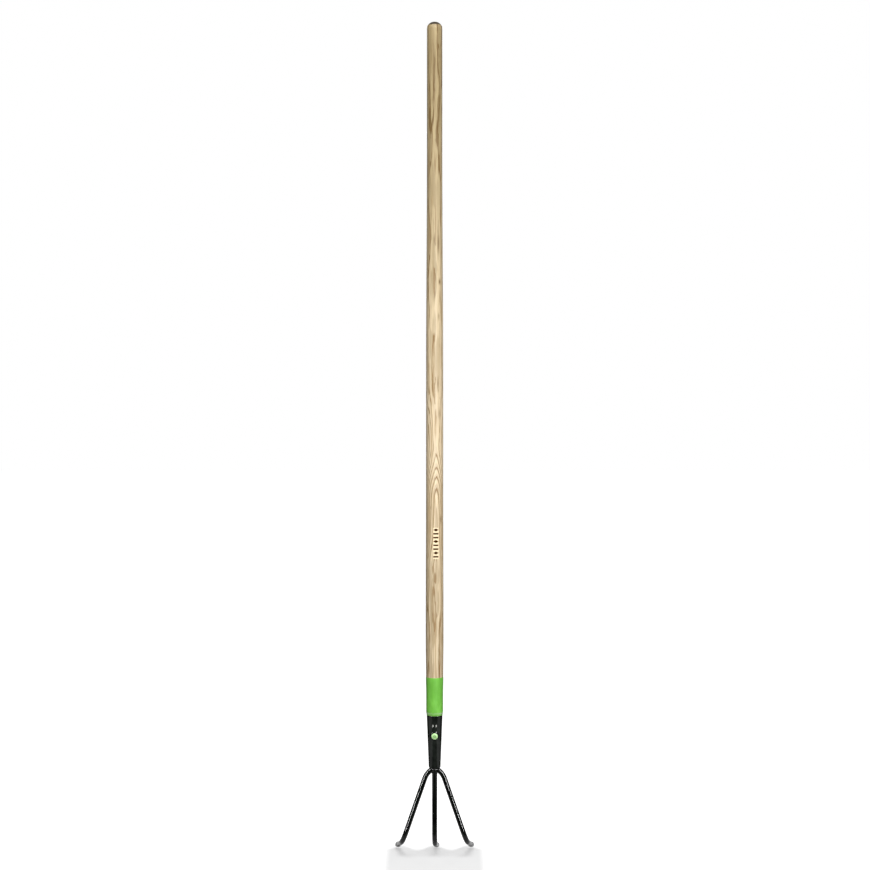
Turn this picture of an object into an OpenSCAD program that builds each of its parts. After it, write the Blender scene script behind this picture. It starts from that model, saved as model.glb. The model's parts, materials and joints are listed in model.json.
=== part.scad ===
// Long-handled hand cultivator: a turned ash handle in a tapered steel socket
// that carries three hooked round-rod tines.
// Millimetres. +Z runs up the handle, the hooks curl towards +Y, and the front
// with the rivet head faces -Y. The origin is under the middle of the object,
// on the ground that the tine points touch.

/* [Handle] */
// Length of handle that shows above the socket mouth
handle_len = 1295; // [1200:1:1500]
// Diameter of the straight grip at the upper end
grip_d = 28.8; // [26:0.1:30]
// Length of the straight grip below the domed butt
grip_len = 230; // [100:5:300]
// Largest diameter, at the swell above the green band
swell_d = 33.2; // [32.6:0.1:36]
// Height of the swell above the socket mouth
swell_h = 142; // [110:1:200]
// Diameter of the shaft between the swell and the long taper
shaft_d = 32; // [31:0.1:32.5]
// Height where the swell has thinned to the shaft
shaft_low_h = 420; // [300:10:500]
// Height where the long taper to the grip starts
shaft_top_h = 640; // [550:10:800]
// Height of the domed butt
butt_h = 10; // [6:0.5:13]
// Height cut off the top of the dome by the lathe
butt_flat = 1; // [0.5:0.1:2]

/* [Green band] */
// Height of the band above the socket mouth
band_h = 71; // [40:1:90]
// Outside diameter at the band's upper edge
band_top_d = 32.5; // [32:0.1:33]
// Outside diameter of the band's lower half
band_low_d = 31.4; // [31:0.1:32]
// Height where the lower half starts to widen
band_low_h = 34; // [20:1:36]
// Height of the rounded shoulder at the lower edge
shoulder_h = 8; // [4:0.5:12]
// Thickness of the sleeve
band_t = 0.3; // [0.2:0.05:0.5]

/* [Socket] */
// Length of the socket, from its mouth to its closed end
socket_len = 99; // [90:1:110]
// Outside diameter at the mouth
socket_mouth_d = 29.4; // [28.6:0.1:30]
// Outside diameter at the closed end
socket_end_d = 21.8; // [20:0.1:24]
// Wall thickness around the handle
socket_wall = 1.8; // [1.2:0.1:2.2]
// Depth of the bore that takes the handle's tenon
bore_depth = 72; // [60:1:74]
// Rounding of the closed end's corner
socket_round = 3; // [1:0.5:4]

/* [Rivet] */
// Depth of the rivet below the socket mouth
rivet_depth = 37.5; // [30:0.5:46]
// Diameter of the rivet's head
rivet_head_d = 11.8; // [11:0.1:14]
// Height of the rivet's domed head
rivet_head_h = 2.6; // [2:0.1:3]
// Diameter of the rivet's tube
rivet_d = 6.4; // [5:0.1:7]
// Diameter of the steel mandrel left inside the tube
mandrel_d = 3.6; // [3:0.1:4]
// Diameter of the flat pad pressed up around each rivet hole
pad_d = 14.4; // [14.2:0.1:16]
// Height of the pad over the socket's surface
pad_h = 0.5; // [0.3:0.1:1]
// Height of the straight rim under the head's dome
rim_h = 0.9; // [0.5:0.1:1.2]
// Radius of the crater that the mandrel left in the head
crater_r = 2.8; // [2.4:0.1:3]
// Radius of the tube's rolled-over tail
tail_r = 2.3; // [2:0.1:3]

/* [Stake marks] */
// Width of each stake mark
stake_w = 2.3; // [1.5:0.1:3]
// Height of each stake mark
stake_h = 4.5; // [3.2:0.1:6]
// Distance between the two marks' centres
stake_gap = 6.1; // [4:0.1:8]
// Depth of the marks below the socket mouth
stake_depth = 18; // [12:1:20]
// How deep the punch went into the wall
stake_cut = 0.5; // [0.3:0.1:1]

/* [Tines] */
// Diameter of the tine rods
rod_d = 9.5; // [8:0.1:10]
// Angle between the handle's axis and an outer tine where it meets the centre one
shoulder_angle = 66.5; // [60:0.5:70]
// Angle between the handle's axis and an outer tine's straight leg
leg_angle = 19.2; // [12:0.2:25]
// Radius of the bend at the top of an outer tine
arch_r = 34; // [28:1:40]
// Length of an outer tine's straight leg
leg_len = 105; // [80:1:140]
// Radius of the hook's bend
hook_r = 28; // [20:1:36]
// Angle turned by the hooks of the outer tines
hook_angle = 68.5; // [55:0.5:85]
// Angle turned by the hook of the centre tine
centre_hook_angle = 73; // [55:0.5:85]
// Length of rod after the hook's bend, with its forged point
point_len = 61; // [45:1:80]
// Outward turn of the outer hooks about their legs
side_splay = 2; // [0:0.5:6]
// Sideways turn of the centre hook, which was bent slightly off line
centre_lean = 3; // [-5:0.5:5]

/* [Forged points] */
// Length of rod that is forged wider and flatter
tip_len = 28; // [24:1:40]
// Width of the point where it is widest
tip_w = 11.2; // [10.4:0.1:14]
// Thickness of the forged point
tip_t = 8.6; // [7:0.1:9]
// Radius of the point's rounded end
tip_end_r = 4.6; // [3:0.1:5]
// Length of the bevel ground on the side that faces the handle
bevel_len = 14; // [10:1:16]
// Thickness left at the end of the bevel
edge_t = 1.6; // [1:0.1:3]

/* [Welds] */
// Height of the bead under the socket
bead_h = 2.5; // [2:0.1:3]
// Radius of the bead's rounded outside
bead_r = 2.6; // [2:0.1:3]
// How far the bead stays in from the socket's outside
bead_inset = 1; // [0.4:0.1:1.4]
// Height of the fillets that fill the crotches between the rods
fillet_h = 7.5; // [5:0.5:9]
// How far the fillets stand out from the centre tine at their upper end
fillet_top = 2.9; // [2:0.1:3.2]
// How far they stand out at their lower end
fillet_low = 0.7; // [0.3:0.1:1.5]

/* [Hidden] */
$fn = 64;

fit_gap = 0.05;        // gap left between parts that touch
cut = 1;               // how far a cut runs past the surface that it opens
rod_r = rod_d / 2;
lap = 0.6;             // how far a straight rod runs into a bend
bend_gain = 0.02;      // extra radius of the rod in its bends
tang_len = 20;         // part of the centre tine held inside the socket

// Places along a forged point, as shares of its length from the neck
root_share = 0.2;      // where the widened part grows out of the rod's sides
thin_share = 0.3;      // where the point has reached its thickness
wide_share = 0.5;      // where the point is widest

band_green = [0.49, 0.80, 0.30];
ash_wood = [0.87, 0.76, 0.61];
black_enamel = [0.09, 0.09, 0.09];
pale_green = [0.64, 0.82, 0.52];
bare_steel = [0.62, 0.62, 0.61];

// Heights and reaches measured from the socket mouth on the handle's axis
fork_z = -socket_len;
leg_top_z = fork_z - arch_r * (sin(shoulder_angle) - sin(leg_angle));
hook_z = leg_top_z - leg_len * cos(leg_angle);
outer_tip_z = hook_z - cos(leg_angle) * hook_run(hook_angle);
// The rounded end of an outer point is tilted with its leg, so its corner is
// a little lower than its centre line
corner_drop = tip_t / 2 * sin(hook_angle) * cos(leg_angle)
    + tip_end_r * (norm([cos(hook_angle) * cos(leg_angle), sin(leg_angle)])
                   - cos(hook_angle) * cos(leg_angle));
ground_z = outer_tip_z - corner_drop;
centre_tip_z = ground_z + tip_t / 2 * sin(centre_hook_angle);
centre_leg_len = fork_z - centre_tip_z - hook_run(centre_hook_angle);

// The origin lies half way between the swell's front and the points' ends
back_reach = hook_reach(centre_hook_angle)
    + (edge_t - tip_t / 2) * cos(centre_hook_angle);
axis_y = -(back_reach - swell_d / 2) / 2;

// How far a hook goes on along its leg, and how far it reaches back
function hook_run(angle) = hook_r * sin(angle) + point_len * cos(angle);
function hook_reach(angle) = hook_r * (1 - cos(angle)) + point_len * sin(angle);

// Outside radius of the socket at a depth below its mouth
function socket_r(depth) =
    (socket_mouth_d + (socket_end_d - socket_mouth_d) * depth / socket_len) / 2;

// Distance from the handle's axis to the underside of the rivet's head
rivet_seat = socket_r(rivet_depth) + pad_h + fit_gap;

// Moves a piece from the socket-mouth frame into the object's frame
module on_axis() {
    translate([0, axis_y, -ground_z]) children();
}

// Turns +Z to the front, centred on the rivet
module on_rivet() {
    translate([0, 0, -rivet_depth]) rotate([90, 0, 0]) children();
}

// ---- Handle and band -------------------------------------------------------

module butt_profile() {
    base_z = handle_len - butt_h;
    dome_r = (pow(grip_d / 2, 2) + pow(butt_h, 2)) / (2 * butt_h);
    intersection() {
        translate([0, handle_len - dome_r]) circle(dome_r, $fn = 160);
        translate([0, base_z]) square([grip_d, butt_h - butt_flat]);
    }
}

module handle_profile() {
    base_z = handle_len - butt_h;
    under_band = band_t + fit_gap / 2;
    tenon_gap = socket_wall + fit_gap;
    polygon([
        [0, -bore_depth + fit_gap],
        [socket_r(bore_depth) - tenon_gap, -bore_depth + fit_gap],
        [socket_r(0) - tenon_gap, 0],
        [socket_r(0) - under_band, fit_gap],
        [band_low_d / 2 - under_band, shoulder_h],
        [band_low_d / 2 - under_band, band_low_h],
        [band_top_d / 2 - under_band, band_h],
        [band_top_d / 2 - band_t, band_h + fit_gap],
        [swell_d / 2, swell_h],
        [shaft_d / 2, shaft_low_h],
        [shaft_d / 2, shaft_top_h],
        [grip_d / 2, base_z - grip_len],
        [grip_d / 2, base_z],
        [0, base_z]]);
    butt_profile();
}

module handle() {
    color(ash_wood) on_axis() difference() {
        rotate_extrude() handle_profile();
        on_rivet() cylinder(d = rivet_d + 2 * fit_gap, h = socket_mouth_d, center = true);
    }
}

module handle_band() {
    color(band_green) on_axis() rotate_extrude() polygon([
        [socket_r(0) - band_t, fit_gap],
        [socket_r(0), fit_gap],
        [band_low_d / 2 - band_t, shoulder_h / 4],
        [band_low_d / 2, shoulder_h],
        [band_low_d / 2, band_low_h],
        [band_top_d / 2, band_h],
        [band_top_d / 2 - band_t, band_h],
        [band_low_d / 2 - band_t, band_low_h],
        [band_low_d / 2 - band_t, shoulder_h]]);
}

// ---- Socket ----------------------------------------------------------------

module socket_outline() {
    corner = [socket_end_d / 2 - socket_round, -socket_len + socket_round];
    polygon([
        [0, 0],
        [socket_mouth_d / 2, 0],
        [socket_end_d / 2, corner.y],
        [corner.x, -socket_len],
        [0, -socket_len]]);
    translate(corner) circle(socket_round);
}

module bore_outline() {
    end_r = socket_r(bore_depth) - socket_wall;
    polygon([
        [0, cut],
        [socket_r(-cut) - socket_wall, cut],
        [end_r, -bore_depth],
        [0, -bore_depth]]);
}

module stake_mark() {
    straight = stake_h - stake_w;
    square([stake_w, straight], center = true);
    for (side = [-1, 1])
        translate([0, side * straight / 2]) circle(d = stake_w);
}

module socket() {
    pad_face = socket_r(rivet_depth) + pad_h;
    stake_face = socket_r(stake_depth) - stake_cut;
    color(black_enamel) on_axis() difference() {
        union() {
            rotate_extrude() socket_outline();
            on_rivet() cylinder(d = pad_d, h = 2 * pad_face, center = true);
        }
        rotate_extrude() bore_outline();
        on_rivet() cylinder(d = rivet_d + 2 * fit_gap, h = 3 * pad_face, center = true);
        translate([0, 0, -socket_len - cut])
            cylinder(r = rod_r + fit_gap, h = tang_len + cut + fit_gap);
        for (side = [-1, 1])
            translate([side * stake_gap / 2, -stake_face, -stake_depth])
                rotate([90, 0, 0]) linear_extrude(height = stake_cut + cut) stake_mark();
    }
}

// ---- Rivet -----------------------------------------------------------------

// Domed head at the front, and the tail that was rolled over behind the socket
module rivet_outline() {
    dome_h = rivet_head_h - rim_h;
    dome_r = (pow(rivet_head_d / 2, 2) + pow(dome_h, 2)) / (2 * dome_h);
    tail_x = rivet_d / 2 - 0.6;
    crater_lift = 0.4;
    difference() {
        union() {
            translate([0, -rivet_seat - tail_r])
                square([rivet_d / 2, 2 * rivet_seat + tail_r]);
            translate([0, rivet_seat]) square([rivet_head_d / 2, rim_h]);
            intersection() {
                translate([0, rivet_seat + rivet_head_h - dome_r])
                    circle(dome_r, $fn = 160);
                translate([0, rivet_seat + rim_h]) square([rivet_head_d / 2, rivet_head_h]);
            }
            intersection() {
                translate([tail_x, -rivet_seat - tail_r]) circle(tail_r);
                translate([0, -rivet_seat - 2 * tail_r])
                    square([tail_x + tail_r, 2 * tail_r]);
            }
        }
        translate([0, -2 * rivet_seat])
            square([mandrel_d / 2 + fit_gap, 4 * rivet_seat]);
        translate([0, rivet_seat + rivet_head_h + crater_lift]) circle(crater_r);
    }
}

module rivet_body() {
    color(pale_green) on_axis() on_rivet() rotate_extrude() rivet_outline();
}

// The broken-off pulling pin, with its head drawn up against the tail
module rivet_mandrel() {
    head_z = -rivet_seat - 2 * tail_r - fit_gap;
    head_r = mandrel_d / 2 + 1;
    color(bare_steel) on_axis() on_rivet() {
        translate([0, 0, head_z]) cylinder(d = mandrel_d, h = rivet_seat - head_z);
        rotate_extrude() intersection() {
            translate([0, head_z]) circle(head_r);
            translate([0, head_z - head_r]) square(head_r);
        }
    }
}

// ---- Tines -----------------------------------------------------------------

// A straight length of rod that runs down from here; children go on at its end.
// It laps a little into the bends above and below it.
module straight_rod(length, r = rod_r) {
    translate([0, 0, -length]) {
        translate([0, 0, -lap]) cylinder(r = r, h = length + 2 * lap);
        children();
    }
}

// A bend that starts downwards here and turns towards +Y; children go on at
// its end, again running along their own -Z. It is a hair thicker than the
// straight rods, so that they end inside it.
module bent_rod(bend_r, angle, r = rod_r) {
    translate([0, bend_r, 0]) {
        rotate([-90, 0, 0]) rotate([0, 90, 0]) rotate_extrude(angle = angle)
            translate([bend_r, 0]) circle(r + bend_gain);
        rotate([angle, 0, 0]) translate([0, -bend_r, 0]) children();
    }
}

// Plan of the widened point; the rod's bend is at the origin
module point_plan() {
    neck_y = tip_len - point_len;
    end_y = tip_end_r - point_len;
    root = [rod_r - 0.5, neck_y - root_share * tip_len];
    widest = [tip_w / 2, neck_y - wide_share * tip_len];
    end = [tip_end_r - 0.3, end_y];
    polygon([
        [-root.x, root.y], [-widest.x, widest.y], [-end.x, end.y],
        end, widest, root]);
    translate([0, end_y]) circle(tip_end_r);
}

// Side view of the rod after the bend: it flattens at its neck, and the bevel
// slopes from its upper side, at +x, down to the edge
module point_side() {
    neck_y = tip_len - point_len;
    clear_x = rod_r + 0.3;
    thin_y = neck_y - thin_share * tip_len;
    polygon([
        [-clear_x, cut], [-clear_x, neck_y], [-tip_t / 2, thin_y],
        [-tip_t / 2, -point_len], [edge_t - tip_t / 2, -point_len],
        [tip_t / 2, bevel_len - point_len], [tip_t / 2, thin_y],
        [clear_x, neck_y], [clear_x, cut]]);
}

// The straight rod after a hook's bend, forged into a chisel point at its end
module forged_point() {
    round_len = point_len - (1 - wide_share) * tip_len;
    intersection() {
        union() {
            translate([0, 0, -round_len]) cylinder(r = rod_r, h = round_len + lap);
            rotate([90, 0, 0])
                linear_extrude(height = 2 * tip_w, center = true) point_plan();
        }
        rotate([90, 0, 90])
            linear_extrude(height = 2 * tip_w, center = true) point_side();
    }
}

// The hook and its point, from the end of a leg
module hook(angle) {
    bent_rod(hook_r, angle) forged_point();
}

// The bend at the top of the right tine, out from the handle's axis
module arch(r = rod_r) {
    translate([0, 0, fork_z])
        rotate([0, -shoulder_angle, 0]) rotate([0, 0, 90])
            bent_rod(arch_r, shoulder_angle - leg_angle, r)
                rotate([0, 0, -90]) children();
}

// Space taken at the fork by the centre tine and the socket
module fork_seat() {
    seat_h = 2 * tang_len;
    translate([0, 0, fork_z - seat_h]) cylinder(r = rod_r + fit_gap, h = 2 * seat_h);
    translate([-seat_h / 2, -seat_h / 2, fork_z - fit_gap]) cube(seat_h);
}

module outer_tine() {
    difference() {
        arch() straight_rod(leg_len) rotate([0, 0, -side_splay]) hook(hook_angle);
        fork_seat();
    }
}

module right_tine() {
    color(black_enamel) on_axis() outer_tine();
}

module left_tine() {
    color(black_enamel) on_axis() mirror([1, 0, 0]) outer_tine();
}

module centre_tine() {
    color(black_enamel) on_axis() translate([0, 0, fork_z + tang_len])
        straight_rod(tang_len + centre_leg_len)
            rotate([0, 0, -centre_lean]) hook(centre_hook_angle);
}

// ---- Welds -----------------------------------------------------------------

// Takes the three rods out of a weld, so that it only fills round them
module around_rods() {
    difference() {
        children();
        fork_seat();
        arch(rod_r + fit_gap);
        mirror([1, 0, 0]) arch(rod_r + fit_gap);
    }
}

// Bead between the socket's closed end and the rods, in a front and a back arc
module socket_weld() {
    bead_x = socket_end_d / 2 - bead_inset - bead_r;
    color(black_enamel) on_axis() around_rods()
        rotate_extrude() intersection() {
            translate([bead_x, fork_z - bead_h / 2]) circle(bead_r);
            translate([rod_r, fork_z - bead_h]) square([socket_end_d / 2, bead_h]);
        }
}

// Fillets that join the outer tines to the centre one, in front and behind
module tine_welds() {
    top_z = fork_z - bead_h - fit_gap;
    color(black_enamel) on_axis() around_rods()
        translate([0, 0, top_z - fillet_h])
            cylinder(r1 = rod_r + fillet_low, r2 = rod_r + fillet_top, h = fillet_h);
}

handle();
handle_band();
socket();
rivet_body();
rivet_mandrel();
centre_tine();
left_tine();
right_tine();
socket_weld();
tine_welds();
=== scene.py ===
"""Visual model of a long-handled hand cultivator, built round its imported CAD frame.

Metres, +Z up along the handle. The rivet head faces -Y and the hooks curl to +Y.
Sizes of the tool and places on the floor are written in millimetres and turned into
metres with MM; lights and camera are placed in metres. Heights called h are measured
from the socket's mouth, where the handle leaves the steel.
"""
import json
import math

import bmesh
import bpy
from mathutils import Matrix, Vector, noise

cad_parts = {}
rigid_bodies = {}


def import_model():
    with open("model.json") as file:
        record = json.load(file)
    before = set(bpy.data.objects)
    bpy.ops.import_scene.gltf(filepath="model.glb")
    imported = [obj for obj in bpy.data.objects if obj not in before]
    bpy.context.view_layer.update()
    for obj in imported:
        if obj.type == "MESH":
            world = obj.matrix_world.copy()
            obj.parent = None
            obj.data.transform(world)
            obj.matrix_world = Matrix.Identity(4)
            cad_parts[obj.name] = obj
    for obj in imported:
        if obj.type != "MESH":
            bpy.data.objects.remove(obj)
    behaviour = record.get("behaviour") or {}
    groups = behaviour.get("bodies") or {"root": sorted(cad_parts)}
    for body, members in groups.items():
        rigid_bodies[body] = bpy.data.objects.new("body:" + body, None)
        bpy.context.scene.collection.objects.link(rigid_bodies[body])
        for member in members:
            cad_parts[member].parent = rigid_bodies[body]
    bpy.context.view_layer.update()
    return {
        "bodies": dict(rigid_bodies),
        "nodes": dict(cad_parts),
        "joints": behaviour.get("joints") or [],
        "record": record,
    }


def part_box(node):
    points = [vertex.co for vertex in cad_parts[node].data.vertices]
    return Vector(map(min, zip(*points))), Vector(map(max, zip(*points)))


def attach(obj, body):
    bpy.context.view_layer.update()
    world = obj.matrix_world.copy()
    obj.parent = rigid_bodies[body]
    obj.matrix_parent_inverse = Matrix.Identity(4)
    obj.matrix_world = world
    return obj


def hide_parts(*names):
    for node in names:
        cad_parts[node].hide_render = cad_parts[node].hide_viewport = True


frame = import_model()

MM = 0.001

# ---- Places, from the frame ------------------------------------------------

band_low, band_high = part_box("handle_band")
socket_low, socket_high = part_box("socket")
handle_low, handle_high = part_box("handle")
AXIS_X = (band_low.x + band_high.x) / 2
AXIS_Y = (band_low.y + band_high.y) / 2
MOUTH_Z = socket_high.z
FORK_Z = socket_low.z
HANDLE_LEN = (handle_high.z - MOUTH_Z) / MM
TENON_LEN = (MOUTH_Z - handle_low.z) / MM
BAND_H = (band_high.z - MOUTH_Z) / MM
SOCKET_LEN = (MOUTH_Z - FORK_Z) / MM

# ---- Sizes in millimetres --------------------------------------------------

GRIP_D = 28.8
GRIP_LEN = 230
SHAFT_D = 32.0
SHAFT_LOW_H = 420
SHAFT_TOP_H = 640
SWELL_D = 33.2
SWELL_H = 142
BUTT_H = 10
BUTT_FLAT = 1

BAND_TOP_D = 32.5
BAND_LOW_D = 31.4
BAND_LOW_H = 34
BAND_T = 0.3
BAND_GAP = 0.1
SHOULDER_H = 8

SOCKET_MOUTH_D = 29.4
SOCKET_END_D = 21.8
SOCKET_WALL = 1.8
TENON_GAP = 0.05
SOCKET_ROUND = 3

RIVET_DEPTH = 37.5
RIVET_HEAD_D = 11.8
RIVET_HEAD_H = 2.6
RIVET_RIM_H = 0.9
RIVET_D = 6.4
CRATER_R = 2.8
CRATER_RIM_R = 2.65
CRATER_LIFT = 0.4
TAIL_R = 2.3
MANDREL_D = 3.6
RIVET_TURNS = 64
PAD_D = 14.4
PAD_H = 0.5
PAD_RIM_IN = 0.3
PAD_RIM_OUT = 1.6

STAKE_W = 2.3
STAKE_H = 4.5
STAKE_GAP = 6.1
STAKE_DEPTH = 18
STAKE_CUT = 0.5
STAKE_LIP_H = 0.05
STAKE_LIP_W = 0.35

ROD_R = 4.75
SHOULDER_ANGLE = 66.5
LEG_ANGLE = 19.2
ARCH_R = 34
LEG_LEN = 105
HOOK_R = 28
HOOK_ANGLE = 68.5
CENTRE_HOOK_ANGLE = 73
POINT_LEN = 61
SIDE_SPLAY = 2
CENTRE_LEAN = 3
TANG_LEN = 20

TIP_LEN = 28
TIP_W = 11.2
TIP_T = 8.6
TIP_END_R = 4.6
BEVEL_LEN = 14
EDGE_T = 1.6

WELD_VOXEL = 0.32
WELD_SINK = 0.1
LUMP_H = 0.3
RIPPLE_H = 0.28
RIPPLE_PITCH = 1.9

# Burned decoration on the handle's front: plain bars and lozenges
MARK_LOW_H = 293
MARK_HIGH_H = 350
MARK_X = 2.4
MARK_W = 9.8
MARK_DEPTH = 0.25
MARK_HALF_H = (MARK_HIGH_H - MARK_LOW_H) / 2

# The wood's growth rings, and the pointed loops where the log bent. The pith lies
# behind the handle, PITH_DEPTH from its axis.
PITH_DEPTH = 36
RING_PITCH = 4.8
LOOP_X = 4.5
LOOP_TOP_H = 508
LOOP_LOW_H = 402
LOOP_BEND = 19
LOOP_ROUND = 2
LOOP_SLANT = 0.85

# Brown marks in the wood: (x, h), half size (x, h), strength
BOLD_MARKS = (
    ((6.6, 880), (1.5, 24), 0.85),
    ((-0.5, 886), (1.3, 9), 0.6),
    ((9.2, 808), (1.6, 5), 0.9),
    ((0.5, 784), (1.1, 8), 0.7),
    ((7.4, 744), (1.4, 6), 0.5),
    ((6.2, 619), (1.3, 12), 0.7),
    ((8.6, 563), (1.5, 10), 0.5),
    ((11.5, 366), (1.6, 8), 0.7),
)


# ---- Numbers and noise -----------------------------------------------------

def clamp(value, low=0.0, high=1.0):
    return max(low, min(high, value))


def smooth(edge_a, edge_b, value):
    """0 before edge_a, 1 after edge_b, and an S-curve between them."""
    t = clamp((value - edge_a) / (edge_b - edge_a))
    return t * t * (3 - 2 * t)


def mix(a, b, t):
    return a + (b - a) * t


def along(stations, x):
    """Value at x on the straight lines through the (x, value) stations."""
    for (x0, v0), (x1, v1) in zip(stations, stations[1:]):
        if x <= x1:
            return mix(v0, v1, clamp((x - x0) / (x1 - x0)))
    return stations[-1][1]


def eased(stations, x):
    """Value at x on S-curves through the (x, value) stations."""
    for (x0, v0), (x1, v1) in zip(stations, stations[1:]):
        if x <= x1:
            return mix(v0, v1, smooth(x0, x1, x))
    return stations[-1][1]


def rumple(x, y, z, size):
    """Repeatable noise from -1 to 1 whose bumps are about size across."""
    return noise.noise(Vector((x, y, z)) / size)


def steps(start, end, pitch):
    """Even steps of about pitch from start, up or down, that stop short of end."""
    count = max(1, round(abs(end - start) / pitch))
    return [start + (end - start) * i / count for i in range(count)]


def on_axis(x, y, h):
    """A point in metres from millimetres across, behind and above the mouth."""
    return Vector((AXIS_X + x * MM, AXIS_Y + y * MM, MOUTH_Z + h * MM))


# ---- Meshes from rings -----------------------------------------------------

def wall_faces(count, size, loop):
    """Quads between neighbouring rings; with loop=True the last joins the first."""
    faces = []
    for i in range(count if loop else count - 1):
        a = i * size
        b = (i + 1) % count * size
        for k in range(size):
            n = (k + 1) % size
            faces.append((a + k, a + n, b + n, b + k))
    return faces


def close_end(points, faces, first, size, flip):
    """Closes the ring that starts at first with a middle point and a fan of faces."""
    centre = len(points)
    points.append(sum(points[first:first + size], Vector()) / size)
    for k in range(size):
        pair = (first + k, first + (k + 1) % size)
        faces.append((*reversed(pair), centre) if flip else (*pair, centre))


def skin(name, rings, sharp, loop=False, values=None):
    """A closed mesh over rings of points; open ends are closed with a middle point.

    Edges that turn by more than sharp degrees stay sharp. With loop=True the last
    ring joins the first, as on a sleeve or a torus. values is a dict of attribute
    name to one number for each ring point.
    """
    size = len(rings[0])
    points = [p for ring in rings for p in ring]
    faces = wall_faces(len(rings), size, loop)
    if not loop:
        close_end(points, faces, 0, size, True)
        close_end(points, faces, (len(rings) - 1) * size, size, False)
    mesh = bpy.data.meshes.new(name)
    mesh.from_pydata(points, [], faces)
    for key, numbers in (values or {}).items():
        layer = mesh.attributes.new(key, "FLOAT", "POINT")
        padded = list(numbers) + [0.0] * (len(points) - len(numbers))
        layer.data.foreach_set("value", padded)
    mesh.validate()
    mesh.shade_smooth()
    mesh.set_sharp_from_angle(angle=math.radians(sharp))
    piece = bpy.data.objects.new(name, mesh)
    bpy.context.scene.collection.objects.link(piece)
    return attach(piece, "root")


def finish_piece(piece, material, node):
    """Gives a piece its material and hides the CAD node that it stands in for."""
    piece.data.materials.append(material)
    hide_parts(node)
    return piece


def angles(fine_half, fine_step, coarse_step):
    """Angles round a piece in radians, finer within fine_half degrees of the front."""
    fine = steps(-fine_half, fine_half, fine_step)
    coarse = steps(fine_half, 360 - fine_half, coarse_step)
    return [math.radians(a) for a in fine + coarse]


def front_point(radius, angle, h):
    """A point round the axis; angle 0 faces the front and 90 degrees faces +X."""
    return on_axis(radius * math.sin(angle), -radius * math.cos(angle), h)


# ---- Shader nodes ----------------------------------------------------------

class Shader:
    """One material and short calls that add and wire its nodes."""

    def __init__(self, name):
        self.material = bpy.data.materials.new(name)
        self.material.use_nodes = True
        self.tree = self.material.node_tree
        self.surface = self.tree.nodes["Principled BSDF"]
        place = self.tree.nodes.new("ShaderNodeTexCoord").outputs["Object"]
        self.mm = self.vector("SCALE", place, scale=1 / MM)

    def feed(self, socket, value):
        """Wires another node's output into an input, or sets the input to a number."""
        if isinstance(value, bpy.types.NodeSocket):
            self.tree.links.new(value, socket)
        else:
            socket.default_value = value

    def put(self, kind, inputs, **settings):
        """Adds a node of this kind with its settings and inputs."""
        node = self.tree.nodes.new(kind)
        for key, value in settings.items():
            setattr(node, key, value)
        for key, value in inputs.items():
            self.feed(node.inputs[key], value)
        return node

    def math(self, operation, a, b=0.0, c=0.0):
        inputs = {0: a, 1: b, 2: c}
        return self.put("ShaderNodeMath", inputs, operation=operation).outputs[0]

    def vector(self, operation, a, b=(0, 0, 0), scale=1.0):
        inputs = {0: a, 3: scale} if operation == "SCALE" else {0: a, 1: b}
        node = self.put("ShaderNodeVectorMath", inputs, operation=operation)
        return node.outputs["Value" if operation == "LENGTH" else "Vector"]

    def xyz(self, vector):
        return self.put("ShaderNodeSeparateXYZ", {0: vector}).outputs

    def join(self, x, y, z):
        return self.put("ShaderNodeCombineXYZ", {0: x, 1: y, 2: z}).outputs[0]

    def noise(self, size, detail=2.0, rough=0.5):
        """Noise from 0 to 1 whose bumps are size (x, y, z) millimetres across."""
        scaled = self.vector("DIVIDE", self.mm, size)
        inputs = {"Vector": scaled, "Scale": 1.0, "Detail": detail, "Roughness": rough}
        return self.put("ShaderNodeTexNoise", inputs).outputs["Fac"]

    def cells(self, size):
        """Distance from 0 upwards to the middle of the nearest cell of that size."""
        scaled = self.vector("DIVIDE", self.mm, size)
        inputs = {"Vector": scaled, "Scale": 1.0, "Randomness": 1.0}
        return self.put("ShaderNodeTexVoronoi", inputs).outputs["Distance"]

    def span(self, value, low, high, out_low=0.0, out_high=1.0):
        """Maps low..high to out_low..out_high on an S-curve, clamped at both ends."""
        inputs = {0: value, 1: low, 2: high, 3: out_low, 4: out_high}
        node = self.put("ShaderNodeMapRange", inputs, interpolation_type="SMOOTHSTEP")
        return node.outputs[0]

    def band(self, value, low, low_full, high_full, high):
        """1 from low_full to high_full, fading to 0 at low and at high."""
        return self.math("MULTIPLY", self.span(value, low, low_full),
                         self.span(value, high, high_full))

    def blend(self, factor, a, b, how="MIX"):
        node = self.put("ShaderNodeMix", {}, data_type="RGBA", blend_type=how)
        self.feed(node.inputs[0], factor)
        self.feed(node.inputs[6], a)
        self.feed(node.inputs[7], b)
        return node.outputs[2]

    def attribute(self, name):
        return self.put("ShaderNodeAttribute", {}, attribute_name=name).outputs["Fac"]

    def bump(self, height, depth, below=None):
        """Normal of a relief that is depth millimetres deep."""
        inputs = {"Height": height, "Distance": depth * MM, "Strength": 1.0}
        if below is not None:
            inputs["Normal"] = below
        return self.put("ShaderNodeBump", inputs).outputs[0]

    def set(self, **inputs):
        names = {"colour": "Base Color", "rough": "Roughness", "metal": "Metallic",
                 "normal": "Normal", "specular": "Specular IOR Level",
                 "coat": "Coat Weight", "coat_rough": "Coat Roughness"}
        for key, value in inputs.items():
            self.feed(self.surface.inputs[names[key]], value)


def rgb(red, green, blue):
    """Linear colour from the 0..255 values that a screen shows."""
    def linear(v):
        v = v / 255
        return v / 12.92 if v <= 0.04045 else ((v + 0.055) / 1.055) ** 2.4
    return (linear(red), linear(green), linear(blue), 1.0)


# ---- Materials -------------------------------------------------------------

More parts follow.
